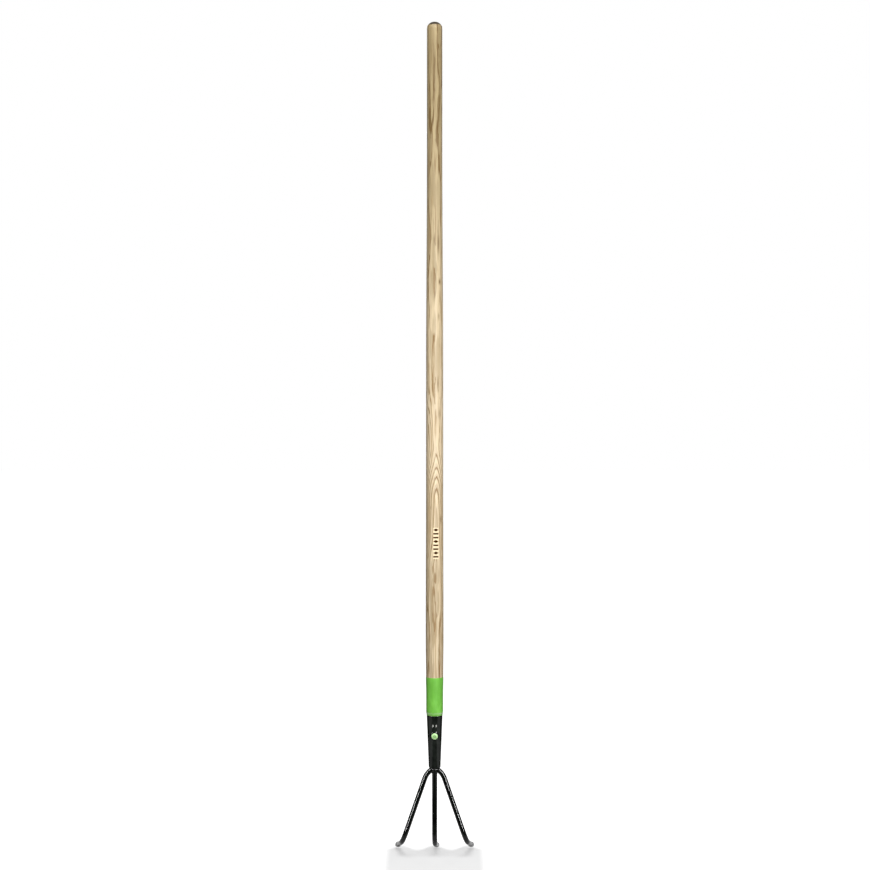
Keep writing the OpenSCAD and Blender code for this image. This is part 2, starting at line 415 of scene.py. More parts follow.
def spot(s, x, h, at, half):
    """1 in the middle of an oval mark, fading round it; at and half are (x, h) pairs.

    The mark runs straight through the wood, so it shows behind as well.
    """
    u = s.math("DIVIDE", s.math("SUBTRACT", x, at[0]), half[0])
    v = s.math("DIVIDE", s.math("SUBTRACT", h, at[1]), half[1])
    far = s.math("ADD", s.math("MULTIPLY", u, u), s.math("MULTIPLY", v, v))
    return s.math("EXPONENT", s.math("MULTIPLY", far, -1))


def ring_phase(s, x, y, h):
    """0 at the dark edge of each growth ring, rising to 1 at the next one."""
    arch = s.span(h, LOOP_TOP_H, LOOP_LOW_H)
    figure = s.band(h, 260, 360, 500, 620)
    off = s.math("SUBTRACT", x, LOOP_X)
    off = s.math("SQRT", s.math("MULTIPLY_ADD", off, off, LOOP_ROUND ** 2))
    figure = s.math("MULTIPLY", figure, s.math("SUBTRACT", off, LOOP_ROUND))
    free = s.math("MULTIPLY_ADD", s.span(h, 280, 380), s.span(h, 540, 440, 0, -0.6), 1.0)
    wander_x = s.span(s.noise((900, 900, 240), 2.0), 0.25, 0.75, -9, 9)
    wander_y = s.span(s.noise((700, 700, 260), 2.0), 0.25, 0.75, -2, 2)
    ripple = s.span(s.noise((7, 7, 100), 3.0, 0.55), 0.2, 0.8, -2.2, 2.2)
    from_pith_x = s.math("MULTIPLY_ADD", wander_x, free, x)
    from_pith_y = s.math("SUBTRACT", s.math("SUBTRACT", y, PITH_DEPTH), wander_y)
    from_pith_y = s.math("SUBTRACT", from_pith_y, s.math("MULTIPLY", arch, LOOP_BEND))
    radius = s.vector("LENGTH", s.join(from_pith_x, from_pith_y, 0.0))
    radius = s.math("MULTIPLY_ADD", ripple, free, radius)
    radius = s.math("MULTIPLY_ADD", figure, -LOOP_SLANT, radius)
    return s.math("FRACT", s.math("DIVIDE", radius, RING_PITCH))


def ringed_wood(s, ring, h):
    """Plain wood in broad zones, a paler stretch round h 535 that is painted light, and a dark
    line and a pale streak in each ring.
    """
    plain = s.span(s.noise((22, 22, 170), 3.0), 0.3, 0.7)
    colour = s.blend(plain, rgb(186, 167, 134), rgb(204, 186, 154))
    # Painted light: the handle is paled round h 535, its most brightly lit stretch.
    pale = s.span(s.math("ABSOLUTE", s.math("SUBTRACT", h, 535)), 140, 30, 0.0, 0.4)
    colour = s.blend(pale, colour, rgb(236, 219, 188))
    strength = s.span(s.noise((9, 9, 120), 2.0, 0.6), 0.32, 0.6, 0.3, 1.0)
    in_loops = s.math("MULTIPLY", s.span(h, 300, 380), s.span(h, 520, 460, 0, 0.9))
    strength = s.math("MAXIMUM", strength, in_loops)
    line = s.band(ring, 0.0, 0.04, 0.18, 0.28)
    light = s.band(ring, 0.28, 0.4, 0.6, 0.78)
    light = s.math("MULTIPLY", s.math("MULTIPLY", light, strength), 0.7)
    colour = s.blend(light, colour, rgb(238, 219, 184))
    return s.blend(s.math("MULTIPLY", line, strength), colour, rgb(142, 114, 74))


def marked_wood(s, colour, x, h):
    """Adds long brown streaks, small flecks, and the few bold marks of this handle."""
    streak = s.span(s.noise((4, 4, 90), 2.0, 0.6), 0.58, 0.7, 0.0, 0.5)
    colour = s.blend(streak, colour, rgb(166, 134, 88))
    fleck = s.span(s.cells((9, 9, 46)), 0.1, 0.03, 0.0, 0.5)
    colour = s.blend(fleck, colour, rgb(118, 86, 54))
    for at, half, depth in BOLD_MARKS:
        mark = s.math("MULTIPLY", spot(s, x, h, at, half), depth)
        colour = s.blend(mark, colour, rgb(112, 84, 46))
    return colour


def wood_darker_to_butt(s, colour, h):
    """Greyer and darker towards the butt, with painted shade darkening the top of the butt over
    its end grain.
    """
    # Greyer and darker the nearer the butt.
    worn = s.span(h, 480, 1200)
    colour = s.blend(worn, colour, rgb(188, 184, 166), "MULTIPLY")
    # Painted shade: the top few millimetres of the butt are darkened nearly to black-brown.
    top = s.span(h, HANDLE_LEN - 8, HANDLE_LEN - 5, 0.0, 0.95)
    return s.blend(top, colour, rgb(44, 38, 30))


def burned_wood(s, colour, x, y, h):
    """Adds the burned decoration in its pale field; also returns where it is charred."""
    burn = s.attribute("burn")
    pressed_x = s.math("ABSOLUTE", s.math("SUBTRACT", x, MARK_X))
    pressed_h = s.math("ABSOLUTE", s.math("SUBTRACT", h, (MARK_LOW_H + MARK_HIGH_H) / 2))
    halo = s.math("MULTIPLY", s.span(pressed_x, MARK_W / 2 + 1.2, MARK_W / 2 - 0.6),
                  s.span(pressed_h, MARK_HALF_H + 1.5, MARK_HALF_H - 0.5, 0.0, 0.75))
    halo = s.math("MULTIPLY", halo, s.span(y, 0, -4))
    colour = s.blend(halo, colour, rgb(252, 232, 192))
    colour = s.blend(s.span(burn, 0.0, 0.35, 0.0, 0.6), colour, rgb(190, 136, 70))
    charred = s.span(burn, 0.3, 0.65)
    return s.blend(charred, colour, rgb(64, 36, 12)), charred


def ash_material():
    """Ash cut almost flat to the rings, with pores, streaks and a clear lacquer."""
    s = Shader("ash_lacquered")
    x, y, z = s.xyz(s.mm)
    x = s.math("SUBTRACT", x, AXIS_X / MM)
    y = s.math("SUBTRACT", y, AXIS_Y / MM)
    h = s.math("SUBTRACT", z, MOUTH_Z / MM)
    ring = ring_phase(s, x, y, h)
    colour = ringed_wood(s, ring, h)

    # Rows of open pores in the early part of each ring, and fine fibres everywhere
    pores = s.span(s.noise((0.45, 0.45, 9), 2.0, 0.6), 0.56, 0.66)
    pore_mask = s.math("MULTIPLY", pores, s.span(ring, 0.5, 0.15, 0.15, 1.0))
    fibres = s.span(s.noise((0.9, 0.9, 60), 3.0, 0.65), 0.3, 0.7)
    colour = s.blend(s.math("MULTIPLY", pore_mask, 0.5), colour, rgb(140, 106, 68))
    colour = s.blend(s.span(fibres, 0, 1, 0.0, 0.2), colour, rgb(184, 154, 112))

    colour = marked_wood(s, colour, x, h)
    colour = wood_darker_to_butt(s, colour, h)
    colour, charred = burned_wood(s, colour, x, y, h)
    rough = s.span(s.noise((7, 7, 40), 2.0), 0.2, 0.8, 0.4, 0.56)
    rough = s.math("ADD", rough, s.math("MULTIPLY", pore_mask, 0.2))
    relief = s.math("SUBTRACT", s.math("MULTIPLY", fibres, 0.25), pore_mask)
    s.set(colour=colour, rough=rough, normal=s.bump(relief, 0.06),
          specular=s.math("MULTIPLY_ADD", charred, -0.28, 0.3),
          coat=s.math("MULTIPLY_ADD", charred, -0.12, 0.12), coat_rough=0.3)
    return s.material


def sleeve_material():
    """Satin green plastic with pale streaks along its length, and a pale band at the lip that is
    a painted reflection.
    """
    s = Shader("green_sleeve")
    h = s.math("SUBTRACT", s.xyz(s.mm)[2], MOUTH_Z / MM)
    cloud = s.span(s.noise((9, 9, 22), 2.0), 0.3, 0.7)
    colour = s.blend(cloud, rgb(112, 188, 66), rgb(128, 206, 80))
    colour = s.blend(s.span(h, 10, 60, 0.0, 0.3), colour, rgb(104, 176, 62))
    # Pale streaks along the length.
    pale_streaks = s.span(s.noise((0.5, 0.5, 14), 3.0, 0.7), 0.64, 0.74, 0.0, 0.35)
    colour = s.blend(pale_streaks, colour, rgb(176, 218, 150))
    # Painted reflection: the rolled lip is paled as if it caught the light, more towards the
    # sides.
    ragged = s.math("ADD", h, s.span(s.noise((4, 4, 2), 3.0), 0.2, 0.8, -1.2, 1.2))
    lip = s.math("MULTIPLY", s.span(ragged, 6.4, 5.2), s.span(ragged, 2.2, 3.6, 0.15, 1.0))
    across = s.math("ABSOLUTE", s.math("SUBTRACT", s.xyz(s.mm)[0], AXIS_X / MM))
    lip = s.math("MULTIPLY", lip, s.span(across, 5, 15, 0.3, 0.9))
    colour = s.blend(lip, colour, rgb(190, 214, 172))
    rough = s.span(s.noise((3, 3, 9), 3.0), 0.25, 0.75, 0.34, 0.5)
    relief = s.noise((1.4, 1.4, 6), 2.0)
    s.set(colour=colour, rough=rough, normal=s.bump(relief, 0.03), specular=0.4)
    return s.material


# The darkest and the palest colour of the black enamel. The rods and welds get a darker copy of
# the same enamel, which is painted shade.
SOCKET_BLACKS = (rgb(5, 6, 5), rgb(12, 14, 12))
RODS_SHADED_BLACKS = (rgb(1, 1, 1), rgb(4, 5, 4))
ENAMEL_SPECULAR = 0.22


def enamel_parts(s, darker, lighter):
    """Colour, roughness and normal of black enamel with dust and orange peel.

    The shallow dents of the forged steel show through it.
    """
    cloud = s.span(s.noise((14, 14, 14), 3.0), 0.3, 0.7)
    colour = s.blend(cloud, darker, lighter)
    dust = s.span(s.cells((3.4, 3.4, 3.4)), 0.08, 0.03, 0.0, 0.15)
    colour = s.blend(dust, colour, rgb(64, 64, 60))
    rough = s.span(s.noise((5, 5, 8), 3.0), 0.25, 0.75, 0.05, 0.1)
    peel = s.noise((1.1, 1.1, 1.1), 1.0)
    forged = s.noise((8, 8, 14), 2.0)
    normal = s.bump(forged, 0.01, s.bump(peel, 0.002))
    return colour, rough, normal


def steel_parts(s, grain):
    """Colour, roughness and normal of bare steel with scratches and stains."""
    cloud = s.span(s.noise((5, 5, 5), 3.0), 0.3, 0.7)
    colour = s.blend(cloud, rgb(150, 149, 146), rgb(182, 181, 178))
    stain = s.span(s.noise((3, 3, 3), 4.0, 0.6), 0.58, 0.75, 0.0, 0.5)
    colour = s.blend(stain, colour, rgb(104, 92, 80))
    scratch = s.noise(grain, 3.0, 0.7)
    rough = s.span(scratch, 0.3, 0.7, 0.34, 0.6)
    return colour, rough, s.bump(scratch, 0.05)


def enamel_material():
    """Black enamel of the socket, worn to steel in the stake marks."""
    s = Shader("black_enamel")
    colour, rough, normal = enamel_parts(s, *SOCKET_BLACKS)
    bare = s.attribute("bare")
    worn = s.span(bare, 0.4, 0.6)
    colour = s.blend(worn, colour, rgb(104, 104, 100))
    s.set(colour=colour, rough=s.math("MULTIPLY_ADD", worn, 0.5, rough), normal=normal,
          specular=ENAMEL_SPECULAR, metal=s.math("MULTIPLY", worn, 0.2))
    return s.material


def tine_material():
    """Black enamel, chipped to bare steel towards the tip of the point."""
    s = Shader("black_enamel_worn_point")
    # Painted shade: the rods' black is a darker copy of the socket's enamel.
    dark, dark_rough, normal = enamel_parts(s, *RODS_SHADED_BLACKS)
    ragged = s.span(s.noise((2, 2, 2), 4.0, 0.6), 0.2, 0.8, -0.25, 0.25)
    mask = s.span(s.math("ADD", s.attribute("bare"), ragged), 0.56, 0.6)
    s.set(colour=s.blend(mask, dark, rgb(132, 130, 126)), normal=normal,
          rough=s.math("MULTIPLY_ADD", mask, 0.25, dark_rough),
          metal=s.math("MULTIPLY", mask, 0.85), specular=ENAMEL_SPECULAR)
    return s.material


def ground_material():
    """Steel of the ground bevels, with grinding lines across the rod."""
    s = Shader("ground_steel")
    colour, rough, normal = steel_parts(s, grain=(7, 0.22, 0.22))
    s.set(colour=colour, rough=rough, normal=normal, metal=0.9)
    return s.material


def weld_material():
    """Black enamel over weld metal, duller and more mottled than on the rods."""
    s = Shader("black_enamel_weld")
    # Painted shade: the weld's black is the rods' darker copy of the socket's enamel.
    colour, rough, normal = enamel_parts(s, *RODS_SHADED_BLACKS)
    mottle = s.span(s.noise((2.2, 2.2, 2.2), 4.0, 0.6), 0.4, 0.7, 0.0, 0.6)
    colour = s.blend(mottle, colour, rgb(14, 15, 13))
    s.set(colour=colour, rough=s.math("ADD", rough, 0.12), normal=normal,
          specular=ENAMEL_SPECULAR)
    return s.material


def rivet_material():
    """Pale green enamel with a few chips, with painted shade darkening the head's crater."""
    s = Shader("rivet_enamel")
    cloud = s.span(s.noise((2.4, 2.4, 2.4), 3.0), 0.3, 0.7)
    colour = s.blend(cloud, rgb(178, 224, 152), rgb(198, 238, 172))
    crater = s.attribute("crater")
    # Painted shade: the crater is darkened as the recess would be in shade.
    colour = s.blend(s.span(crater, 0.1, 0.9, 0.0, 0.85), colour, rgb(128, 182, 98))
    chip = s.span(s.noise((0.8, 0.8, 0.8), 3.0, 0.6), 0.68, 0.72)
    colour = s.blend(chip, colour, rgb(112, 124, 104))
    rough = s.span(s.noise((1.5, 1.5, 1.5), 3.0), 0.25, 0.75, 0.26, 0.44)
    s.set(colour=colour, rough=rough, normal=s.bump(s.noise((1, 1, 1), 2.0), 0.04))
    return s.material


def mandrel_material():
    """Bare steel, with green enamel over the broken end that shows at the front."""
    s = Shader("bare_steel")
    colour, rough, normal = steel_parts(s, grain=(0.6, 0.6, 0.6))
    behind = s.math("SUBTRACT", s.xyz(s.mm)[1], AXIS_Y / MM)
    painted = s.span(behind, -RIVET_SEAT + 1.2, -RIVET_SEAT + 0.4)
    s.set(colour=s.blend(painted, colour, rgb(168, 212, 142)), rough=rough, normal=normal,
          metal=s.math("MULTIPLY_ADD", painted, -0.9, 0.9))
    return s.material


# ---- Handle ----------------------------------------------------------------

def handle_radius(h):
    """Radius of the wood at height h, from the shoulder on the socket to the grip."""
    under = BAND_T + BAND_GAP
    base_h = HANDLE_LEN + BUTT_FLAT - BUTT_H
    if h <= BAND_LOW_H:
        return along([(0, SOCKET_MOUTH_D / 2 - under),
                      (SHOULDER_H / 4, mix(SOCKET_MOUTH_D, BAND_LOW_D, 0.3) / 2 - under),
                      (SHOULDER_H, BAND_LOW_D / 2 - under)], h)
    if h < BAND_H:
        return mix(BAND_LOW_D, BAND_TOP_D, smooth(BAND_LOW_H, BAND_H, h)) / 2 - under
    return eased([(BAND_H, BAND_TOP_D / 2 - BAND_T),
                  (BAND_H + 1, BAND_TOP_D / 2 - BAND_T + 0.02),
                  (SWELL_H, SWELL_D / 2),
                  (SHAFT_LOW_H, SHAFT_D / 2),
                  (SHAFT_TOP_H, SHAFT_D / 2),
                  (base_h - GRIP_LEN, GRIP_D / 2),
                  (base_h, GRIP_D / 2)], h)


def butt_outline():
    """(radius, h) points over the domed butt to its small flat."""
    top_h = HANDLE_LEN + BUTT_FLAT
    dome_r = ((GRIP_D / 2) ** 2 + BUTT_H ** 2) / (2 * BUTT_H)
    start = math.asin(GRIP_D / 2 / dome_r)
    end = math.acos((dome_r - BUTT_FLAT) / dome_r)
    points = []
    for i in range(1, 19):
        a = mix(start, end, i / 18)
        points.append((dome_r * math.sin(a), top_h - dome_r + dome_r * math.cos(a)))
    flat_r = points[-1][0]
    points[-1] = (flat_r + 0.15, HANDLE_LEN - 0.12)
    return points + [(flat_r - 0.3, HANDLE_LEN), (flat_r / 2, HANDLE_LEN)]


def mark_strength(x, h):
    """1 inside a bar or a lozenge of the burned decoration, fading over its edge."""
    if not MARK_LOW_H < h < MARK_HIGH_H:
        return 0.0
    pitch = (MARK_HIGH_H - MARK_LOW_H) / 8
    cell = (h - MARK_LOW_H) / pitch
    from_middle = abs(cell % 1 - 0.5) * pitch
    across = abs(x - MARK_X) / (MARK_W / 2)
    edge = 0.4
    if int(cell) % 3 == 1:
        inside = 2.8 - from_middle - 2.8 * across
    else:
        inside = min(1.35 - from_middle, (1 - across) * MARK_W / 2)
    return clamp(inside / edge + 0.5)


def build_handle(material):
    """Turned ash handle with its tenon, swell, long taper and domed butt."""
    turns = angles(22, 1.1, 5.5)
    tenon = [(socket_radius(h) - SOCKET_WALL - TENON_GAP, h)
             for h in steps(-TENON_LEN, 0, 6) + [0]]
    heights = (steps(0, SHOULDER_H, 1) + steps(SHOULDER_H, BAND_LOW_H, 3)
               + steps(BAND_LOW_H, BAND_H - 0.4, 2.5) + [BAND_H - 0.4, BAND_H - 0.02]
               + steps(BAND_H, MARK_LOW_H, 5)
               + steps(MARK_LOW_H, MARK_HIGH_H, 0.35)
               + steps(MARK_HIGH_H, HANDLE_LEN + BUTT_FLAT - BUTT_H, 5))
    outline = tenon + [(handle_radius(h), h) for h in heights]
    outline += butt_outline()
    rings, burn = [], []
    for radius, h in outline:
        ring = []
        for a in turns:
            turned = 0.05 * rumple(math.sin(a) * 9, math.cos(a) * 9, h / 6, 8)
            r = radius + turned * smooth(BAND_H, SWELL_H, h)
            facing = math.cos(a) > 0
            mark = mark_strength(r * math.sin(a), h) if facing else 0.0
            ring.append(front_point(r - MARK_DEPTH * mark, a, h))
            burn.append(mark)
        rings.append(ring)
    piece = skin("handle_turned", rings, sharp=50, values={"burn": burn})
    return finish_piece(piece, material, "handle")


def build_sleeve(material):
    """Thin green sleeve with rolled edges, stretched over the handle's shoulder."""
    outer = [(SOCKET_MOUTH_D / 2 - 0.02, 0.12), (SOCKET_MOUTH_D / 2 + 0.2, 0.3)]
    outer += [(mix(SOCKET_MOUTH_D, BAND_LOW_D, math.sin(t * math.pi / 2)) / 2,
               mix(0.3, SHOULDER_H, t)) for t in (0.1, 0.2, 0.35, 0.5, 0.7, 0.85)]
    outer += [(BAND_LOW_D / 2, h) for h in steps(SHOULDER_H, BAND_LOW_H, 3)]
    outer += [(mix(BAND_LOW_D, BAND_TOP_D, smooth(BAND_LOW_H, BAND_H, h)) / 2, h)
              for h in steps(BAND_LOW_H, BAND_H - 0.4, 2.5)]
    outer += [(BAND_TOP_D / 2, BAND_H - 0.3), (BAND_TOP_D / 2 - 0.05, BAND_H - 0.1),
              (BAND_TOP_D / 2 - 0.15, BAND_H)]
    inner = [(r - BAND_T, h) for r, h in reversed(outer[1:-1])]
    turns = [math.radians(a) for a in steps(-180, 180, 3.75)]
    rings = []
    for radius, h in outer + inner:
        ring = []
        for a in turns:
            slack = 0.05 * rumple(math.sin(a) * 12, math.cos(a) * 12, h, 9)
            ring.append(front_point(radius + slack, a, h))
        rings.append(ring)
    piece = skin("green_sleeve", rings, sharp=60, loop=True)
    return finish_piece(piece, material, "handle_band")


# ---- Socket ----------------------------------------------------------------

def socket_radius(h):
    """Outside radius of the socket's plain cone at height h, which is negative."""
    return mix(SOCKET_MOUTH_D, SOCKET_END_D, -h / SOCKET_LEN) / 2


PAD_FACE = socket_radius(-RIVET_DEPTH) + PAD_H


def from_stake(x, h):
    """Distance to the middle line of the nearer stake mark."""
    across = abs(abs(x) - STAKE_GAP / 2)
    up = max(0.0, abs(h + STAKE_DEPTH) - (STAKE_H - STAKE_W) / 2)
    return math.hypot(across, up)


def pressed(x, y, h):
    """Moves a point of the cone to the rivet pads and the stake marks."""
    side = -1 if y < 0 else 1
    from_rivet = math.hypot(x, h + RIVET_DEPTH)
    on_pad = 1 - smooth(PAD_D / 2 - PAD_RIM_IN, PAD_D / 2 + PAD_RIM_OUT, from_rivet)
    if on_pad > 0:
        y = mix(y, side * PAD_FACE, on_pad)
    if side < 0:
        away = from_stake(x, h)
        dent = 1 - smooth(STAKE_W / 2 - 0.5, STAKE_W / 2 + 0.15, away)
        lip = math.exp(-((away - STAKE_W / 2 - 0.45) / STAKE_LIP_W) ** 2)
        y += STAKE_CUT * dent - STAKE_LIP_H * lip
    return x, y


def stake_wear(x, y, h):
    """1 on the bruised floor of a stake mark, where the enamel broke away."""
    if y > 0:
        return 0.0
    ragged = 0.25 * rumple(x, y, h, 0.8)
    return 1 - smooth(STAKE_W / 2 - 0.6, STAKE_W / 2 - 0.1, from_stake(x, h) + ragged)


def socket_outline():
    """(radius, h) points of the outside, from the mouth's edge to the rounded end."""
    outline = [(SOCKET_MOUTH_D / 2 - 0.7, -0.02), (SOCKET_MOUTH_D / 2 - 0.3, -0.06),
               (SOCKET_MOUTH_D / 2 - 0.1, -0.2)]
    # Rings lie closest over the stake marks and the rivet pads
    heights = (steps(-0.5, -9, 1.2) + steps(-9, -25, 0.35) + steps(-25, -48, 0.5)
               + steps(-48, SOCKET_ROUND - SOCKET_LEN, 1.5))
    outline += [(socket_radius(h), h) for h in heights]
    corner_r = socket_radius(SOCKET_ROUND - SOCKET_LEN) - SOCKET_ROUND
    for i in range(9):
        a = math.radians(90 * i / 8)
        outline.append((corner_r + SOCKET_ROUND * math.cos(a),
                        SOCKET_ROUND - SOCKET_LEN - SOCKET_ROUND * math.sin(a)))
    return outline


def build_socket(material):
    """Tapered steel socket with its bore, pressed rivet pads and punch marks."""
    turns = angles(38, 1.3, 3.4)
    bore = [(socket_radius(h) - SOCKET_WALL, h)
            for h in (-TENON_LEN - TENON_GAP, -60, -40, -20, -0.3, -0.04)]
    rings, bare = [], []
    for radius, h in bore:
        rings.append([front_point(radius, a, h) for a in turns])
        bare += [0.0] * len(turns)
    for radius, h in socket_outline():
        ring = []
        for a in turns:
            x, y = pressed(radius * math.sin(a), -radius * math.cos(a), h)
            bare.append(stake_wear(x, y, h))
            forged = 0.09 * rumple(x, y, h, 11)
            ring.append(on_axis(x + forged * math.sin(a), y - forged * math.cos(a), h))
        rings.append(ring)
    piece = skin("socket_forged", rings, sharp=50, values={"bare": bare})
    return finish_piece(piece, material, "socket")


# ---- Rivet -----------------------------------------------------------------

RIVET_SEAT = PAD_FACE + 0.05


def rivet_rings(outline, roughness, count):
    """Rings round the rivet's own axis from (radius, distance to the front) points."""
    rings = []
    for radius, out in outline:
        ring = []
        for k in range(count):
            a = 2 * math.pi * k / count
            r = radius + roughness * rumple(math.cos(a) * 3, math.sin(a) * 3, out, 2)
            ring.append(on_axis(r * math.cos(a), -out, r * math.sin(a) - RIVET_DEPTH))
        rings.append(ring)
    return rings


def rivet_outline():
    """(radius, distance to the front) points of the rivet, and 1 for those in its crater."""
    dome_h = RIVET_HEAD_H - RIVET_RIM_H
    dome_r = ((RIVET_HEAD_D / 2) ** 2 + dome_h ** 2) / (2 * dome_h)
    top = RIVET_SEAT + RIVET_HEAD_H
    hole_r = MANDREL_D / 2 + 0.05
    tail_x = RIVET_D / 2 - 0.6
    outline, crater = [], []

    def point(radius, out, depth=0.0):
        outline.append((radius, out))
        crater.append(depth)

    def arc(centre, radius, start, end, count, depth=0.0):
        for i in range(count + 1):
            a = math.radians(mix(start, end, i / count))
            point(centre[0] + radius * math.cos(a), centre[1] + radius * math.sin(a), depth)

    point(hole_r, -RIVET_SEAT - TAIL_R)
    arc((tail_x, -RIVET_SEAT - TAIL_R), TAIL_R, -90, 80, 16)
    point(RIVET_D / 2, -RIVET_SEAT + 0.05)
    point(RIVET_D / 2, RIVET_SEAT - 0.02)
    point(RIVET_HEAD_D / 2 - 0.25, RIVET_SEAT)
    arc((RIVET_HEAD_D / 2 - 0.3, RIVET_SEAT + 0.35), 0.3, -60, 20, 5)
    lip = math.acos((RIVET_HEAD_D / 2 - 0.02) / dome_r)
    crater_rim = math.acos(CRATER_RIM_R / dome_r)
    arc((0, top - dome_r), dome_r, math.degrees(lip), math.degrees(crater_rim), 16)
    arc((0, top + CRATER_LIFT), CRATER_R, -18, -48, 9, 1.0)
    point(hole_r, top - 1.9, 1.0)
    return outline, crater


def build_rivet(material):
    """Blind rivet: a domed head with the puller's crater, and a rolled-over tail."""
    outline, depths = rivet_outline()
    crater = [depth for depth in depths for _ in range(RIVET_TURNS)]
    piece = skin("rivet_shell", rivet_rings(outline, 0.05, RIVET_TURNS), sharp=40,
                 loop=True, values={"crater": crater})
    return finish_piece(piece, material, "rivet_body")


def build_mandrel(material):
    """Steel pin broken off inside the rivet, with its head against the tail."""
    head_out = -RIVET_SEAT - 2 * TAIL_R - 0.05
    head_r = MANDREL_D / 2 + 1
    outline = []
    for i in range(1, 10):
        a = math.radians(mix(-88, 0, i / 9))
        outline.append((head_r * math.cos(a), head_out + head_r * math.sin(a)))
    outline += [(MANDREL_D / 2, head_out), (MANDREL_D / 2, RIVET_SEAT - 0.5),
                (MANDREL_D / 2 - 0.1, RIVET_SEAT + 1.2), (MANDREL_D / 2 - 0.5, RIVET_SEAT + 1.7),
                (MANDREL_D / 2 - 1.2, RIVET_SEAT + 1.5)]
    piece = skin("rivet_mandrel_pin", rivet_rings(outline, 0.04, 40), sharp=50)
    return finish_piece(piece, material, "rivet_mandrel")


# ---- Tines -----------------------------------------------------------------

def shift(x, y, z):
    return Matrix.Translation((x, y, z))


def turn(degrees, axis):
    return Matrix.Rotation(math.radians(degrees), 4, axis)


def straight(start, length):
    """Frames down a straight rod, and the frame at its end."""
    frames = [start @ shift(0, 0, -d) for d in steps(0, length, 3)]
    return frames, start @ shift(0, 0, -length)


def bend(start, radius, angle):
    """Frames along a bend towards +Y of the start frame, and the frame at its end."""
    def at(a):
        return start @ shift(0, radius, 0) @ turn(a, "X") @ shift(0, -radius, 0)
    return [at(a) for a in steps(0, angle, 2.5)], at(angle)


def point_half_width(s):
    """Half width at distance s after the hook's bend."""
    neck = POINT_LEN - TIP_LEN
    widest = neck + TIP_LEN / 2
    end = POINT_LEN - TIP_END_R
    if s <= widest:
        return eased([(neck, ROD_R), (widest, TIP_W / 2)], s)
    if s <= end:
        return mix(TIP_W / 2, TIP_END_R, ((s - widest) / (end - widest)) ** 2)
    return TIP_END_R * math.sqrt(max(0.02, 1 - ((s - end) / TIP_END_R) ** 2))


def point_half_thickness(s):
    """Half thickness at distance s after the hook's bend, before the bevel is ground."""
    neck = POINT_LEN - TIP_LEN
    half = eased([(neck - 4, ROD_R), (neck + 0.3 * TIP_LEN, TIP_T / 2)], s)
    return half * (1 - 0.12 * smooth(POINT_LEN - 1.5, POINT_LEN, s))


def section(frame, half_x, half_y, power, count=48):
    """A ring that is round at power 2 and squarer above it."""
    ring = []
    for k in range(count):
        a = 2 * math.pi * k / count
        c, d = math.cos(a), math.sin(a)
        x = half_x * math.copysign(abs(c) ** (2 / power), c)
        y = half_y * math.copysign(abs(d) ** (2 / power), d)
        ring.append(frame @ Vector((x, y, 0)))
    return ring


def forged_point(start):
    """Rings of the rod after the hook, forged wider, and how worn each one is."""
    rings, worn = [], []
    end = POINT_LEN - TIP_END_R
    neck = POINT_LEN - TIP_LEN
    for s in steps(0, end, 1.0) + steps(end, POINT_LEN, 0.3) + [POINT_LEN]:
        flat = smooth(neck - 2, neck + 12, s)
        ring = section(start @ shift(0, 0, -s), point_half_width(s),
                       point_half_thickness(s), 2 + 0.9 * flat)
        centre = start @ Vector((0, 0, -s))
        hammered = []
        for p in ring:
            dent = 1 + 0.03 * flat * rumple(p.x, p.y, p.z, 6)
            hammered.append(centre + (p - centre) * dent)
        rings.append(hammered)
        worn += [0.45 * smooth(neck, POINT_LEN - 6, s)
                 + 0.2 * smooth(POINT_LEN - 2.5, POINT_LEN, s)] * len(ring)
    return rings, worn


def grind_bevel(piece, start, steel):
    """Cuts the flat bevel off the point's upper side and leaves its face bare steel."""
    low = start @ Vector((0, EDGE_T - TIP_T / 2, -POINT_LEN))
    high = start @ Vector((0, TIP_T / 2, BEVEL_LEN - POINT_LEN))
    low, high = on_axis(*low), on_axis(*high)
    across = (start.to_3x3() @ Vector((1, 0, 0))).normalized()
    outward = across.cross(high - low).normalized()
    tip = on_axis(*(start @ Vector((0, 0, -POINT_LEN))))
    if outward.dot(tip - low) < 0:
        outward.negate()
    reach = (BEVEL_LEN + TIP_T) * MM
    work = bmesh.new()
    work.from_mesh(piece.data)
    near = [v for v in work.verts if (v.co - tip).length < reach]
    inside = set(near)
    edges = [e for e in work.edges if all(v in inside for v in e.verts)]
    faces = [f for f in work.faces if all(v in inside for v in f.verts)]
    bmesh.ops.bisect_plane(work, geom=near + edges + faces, dist=1e-7, plane_co=low,
                           plane_no=outward, clear_outer=True)
    rim = [e for e in work.edges if e.is_boundary]
    facet = bmesh.ops.holes_fill(work, edges=rim, sides=0)["faces"]
    for face in facet:
        face.material_index = 1
    bmesh.ops.inset_region(work, faces=facet, thickness=0.2 * MM, depth=0.06 * MM)
    bmesh.ops.triangulate(work, faces=[f for f in work.faces if len(f.verts) > 4])
    bmesh.ops.recalc_face_normals(work, faces=work.faces)
    work.to_mesh(piece.data)
    work.free()
    piece.data.materials.append(steel)
    piece.data.set_sharp_from_angle(angle=math.radians(30))


def tine(name, frames, hook_frame, hook_angle, node, materials):
    """Sweeps a round rod down the frames, round the hook and into its ground point."""
    enamel, steel = materials
    hook, point_frame = bend(hook_frame, HOOK_R, hook_angle)
    rings = [section(f, ROD_R, ROD_R, 2) for f in frames + hook]
    worn = [0.0] * sum(len(ring) for ring in rings)
    point_rings, point_worn = forged_point(point_frame)
    rings = [[on_axis(*p) for p in ring] for ring in rings + point_rings]
    piece = skin(name, rings, sharp=60, values={"bare": worn + point_worn})
    finish_piece(piece, enamel, node)
    grind_bevel(piece, point_frame, steel)
    return piece


